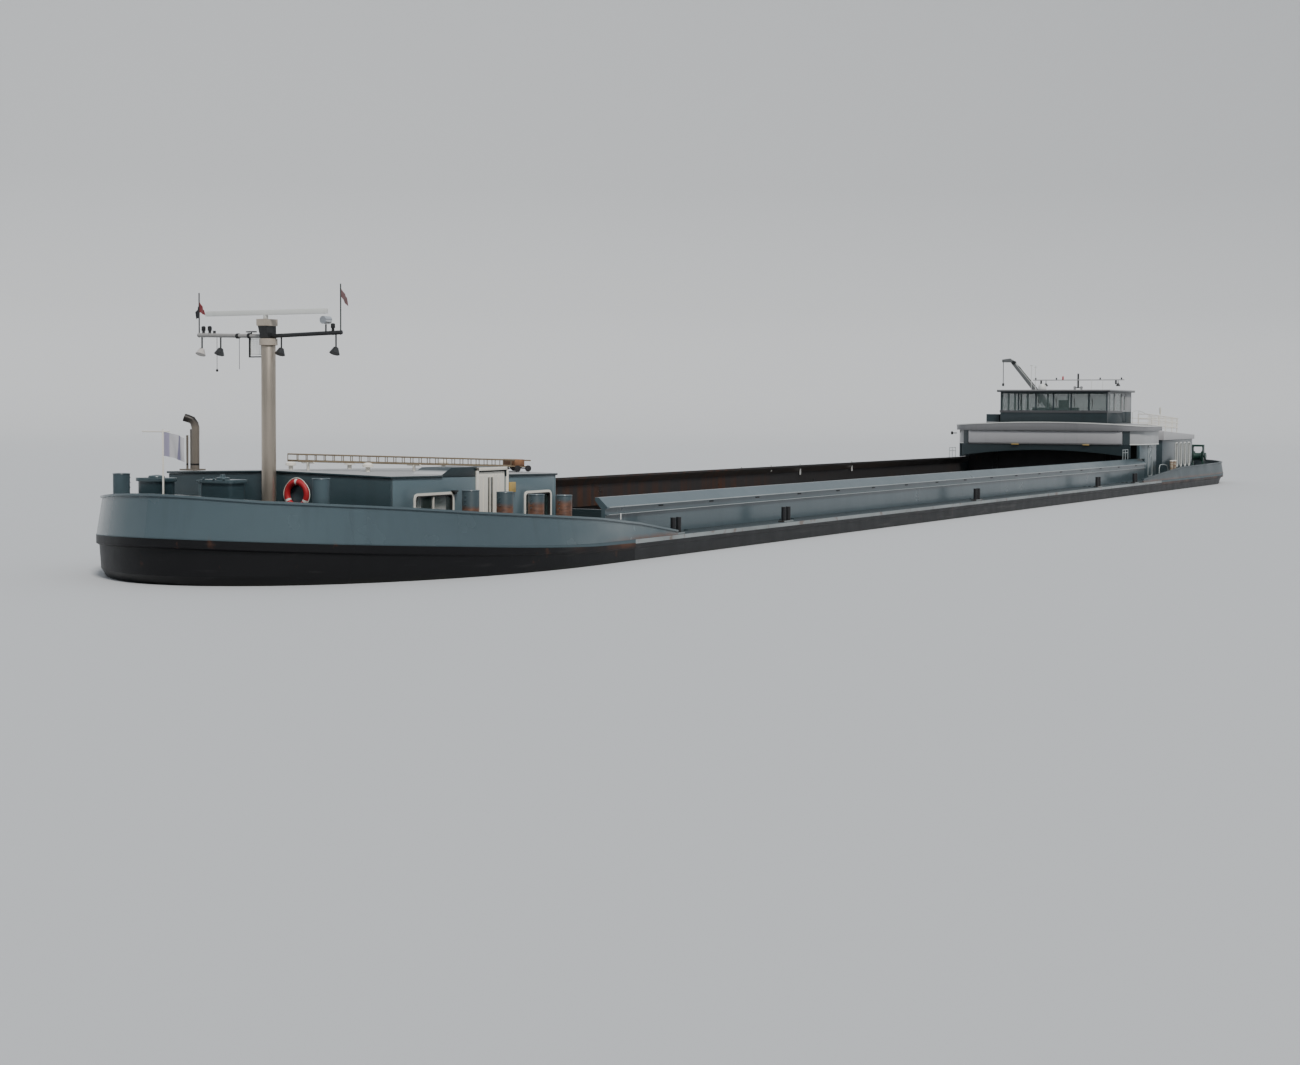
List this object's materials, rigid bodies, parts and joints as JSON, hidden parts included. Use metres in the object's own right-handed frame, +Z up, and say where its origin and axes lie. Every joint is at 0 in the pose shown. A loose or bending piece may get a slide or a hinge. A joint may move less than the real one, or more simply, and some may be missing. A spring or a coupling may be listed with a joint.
{
  "type": "river cargo barge with open hold, 1:10 scale model",
  "caption": "Self-propelled river barge scale model: long open hold with coamings, fore house with telescopic mast, aft house with wheelhouse, deck crane, propeller and rudders.",
  "frame": {"origin": "middle of the flat bottom, on the centreline, at the keel", "axes": "+X towards the bow, +Y to port, +Z up; the waterline is at Z = 0.300 m"},
  "size_m": [8.6, 1.145, 1.0025],
  "materials": {
    "teal_paint": "gloss paint",
    "dark_teal_paint": "gloss paint",
    "black_paint": "satin bottom paint",
    "hold_steel": "worn and rusted",
    "white_paint": "gloss paint",
    "panel_paint": "satin paint",
    "stainless": "brushed",
    "bronze": "cast and turned",
    "green_paint": "gloss paint",
    "seat_fabric": "dark upholstery"
  },
  "bodies": {
    "hull": {"bow_hull": "black_paint", "stern_hull": "black_paint", "engine_block": "green_paint", "hold_floor": "hold_steel", "side_tank_port": "teal_paint", "side_tank_starboard": "teal_paint", "bulwark_bow_port": "teal_paint", "bulwark_bow_starboard": "teal_paint", "bulwark_stern_port": "teal_paint", "bulwark_stern_starboard": "teal_paint", "coaming_port": "teal_paint", "coaming_starboard": "teal_paint", "coaming_fore": "dark_teal_paint", "hold_bulkhead_aft": "black_paint", "fore_house_wall_port": "teal_paint", "fore_house_wall_starboard": "teal_paint", "fore_house_wall_front": "dark_teal_paint", "fore_house_wall_aft": "teal_paint", "fore_house_roof": "panel_paint", "companionway_hood": "dark_teal_paint", "fore_posts_port": "dark_teal_paint", "fore_posts_starboard": "dark_teal_paint", "windlass_frame": "dark_teal_paint", "exhaust_pipes": "stainless", "bow_flagstaff": "stainless", "aft_house_front": "dark_teal_paint", "aft_house_wall_port": "teal_paint", "aft_house_wall_starboard": "teal_paint", "aft_house_fascia": "panel_paint", "aft_house_roof": "panel_paint", "after_cabin_wall_port": "teal_paint", "after_cabin_wall_starboard": "teal_paint", "after_cabin_wall_aft": "teal_paint", "after_cabin_roof": "white_paint", "wheelhouse_front": "dark_teal_paint", "wheelhouse_back": "teal_paint", "wheelhouse_wall_port": "panel_paint", "wheelhouse_wall_starboard": "panel_paint", "wheelhouse_roof": "white_paint", "helm_desk": "dark_teal_paint", "helm_chair": "seat_fabric", "propeller_nozzle": "black_paint", "stern_winch_frame": "green_paint"},
    "mast": {"mast_tube": "stainless", "mast_cross_arm": "stainless"},
    "radar": {"radar_scanner": "white_paint"},
    "windlass": {"windlass_drum": "stainless"},
    "stern_winch": {"stern_winch_drum": "green_paint"},
    "fore_door": {"fore_house_door": "white_paint"},
    "helm_door": {"wheelhouse_door": "panel_paint"},
    "crane_slewer": {"crane_post": "teal_paint"},
    "boom": {"crane_boom": "panel_paint"},
    "ram_barrel": {"crane_ram_barrel": "dark_teal_paint"},
    "ram_rod": {"crane_ram_rod": "stainless"},
    "hook": {"crane_hook": "dark_teal_paint"},
    "signals": {"signal_mast": "teal_paint"},
    "screw": {"propeller": "bronze"},
    "port_rudder": {"rudder_port": "black_paint"},
    "starboard_rudder": {"rudder_starboard": "black_paint"}
  },
  "joints": [
    {"name": "mast_lift", "type": "slide", "parent": "hull", "child": "mast", "axis": [0, 0, 1], "range_m": [-0.2, 0]},
    {"name": "radar_turn", "type": "hinge", "parent": "mast", "child": "radar", "pos_m": [3.881, 0, 0.922], "axis": [0, 0, 1], "continuous": true},
    {"name": "windlass_turn", "type": "hinge", "parent": "hull", "child": "windlass", "pos_m": [4.152, 0, 0.465], "axis": [0, 1, 0], "continuous": true},
    {"name": "stern_winch_turn", "type": "hinge", "parent": "hull", "child": "stern_winch", "pos_m": [-3.83, 0.397, 0.44869], "axis": [0, 1, 0], "continuous": true},
    {"name": "fore_door_swing", "type": "hinge", "parent": "hull", "child": "fore_door", "pos_m": [3.476, 0.344, 0.45], "axis": [0, 0, -1], "range_deg": [0, 90]},
    {"name": "helm_door_swing", "type": "hinge", "parent": "hull", "child": "helm_door", "pos_m": [-2.6377, 0.284, 0.72], "axis": [0, 0, -1], "range_deg": [0, 100]},
    {"name": "crane_slew", "type": "hinge", "parent": "hull", "child": "crane_slewer", "pos_m": [-3.2, -0.228, 0.63], "axis": [0, 0, 1], "range_deg": [-95, 20]},
    {"name": "boom_luff", "type": "hinge", "parent": "crane_slewer", "child": "boom", "pos_m": [-3.2, -0.228, 0.655], "axis": [-1, 0, 0], "range_deg": [-25, 20]},
    {"name": "ram_swing", "type": "hinge", "parent": "crane_slewer", "child": "ram_barrel", "pos_m": [-3.2, -0.258, 0.627], "axis": [-1, 0, 0], "range_deg": [-25, 20]},
    {"name": "ram_stroke", "type": "slide", "parent": "ram_barrel", "child": "ram_rod", "axis": [0, -0.5457, 0.838], "range_m": [-0.02, 0.016]},
    {"name": "hook_hang", "type": "hinge", "parent": "boom", "child": "hook", "pos_m": [-3.2, -0.55697, 0.98746], "axis": [-1, 0, 0], "range_deg": [-21, 26]},
    {"name": "signal_mast_fold", "type": "hinge", "parent": "hull", "child": "signals", "pos_m": [-2.795, 0, 0.83], "axis": [0, 1, 0], "range_deg": [0, 90]},
    {"name": "screw_turn", "type": "hinge", "parent": "hull", "child": "screw", "pos_m": [-3.73, 0, 0.088], "axis": [1, 0, 0], "continuous": true},
    {"name": "port_rudder_turn", "type": "hinge", "parent": "hull", "child": "port_rudder", "pos_m": [-3.87, 0.052, 0.1], "axis": [0, 0, 1], "range_deg": [-45, 45]},
    {"name": "starboard_rudder_turn", "type": "hinge", "parent": "hull", "child": "starboard_rudder", "pos_m": [-3.87, -0.052, 0.1], "axis": [0, 0, 1], "range_deg": [-45, 45]}
  ],
  "couplings": [
    {"joint": "ram_swing", "follows": "boom_luff", "ratio": 0.97},
    {"joint": "ram_stroke", "follows": "boom_luff", "m_per_rad": 0.0395},
    {"joint": "hook_hang", "follows": "boom_luff", "ratio": -1},
    {"joint": "starboard_rudder_turn", "follows": "port_rudder_turn", "ratio": 1}
  ]
}
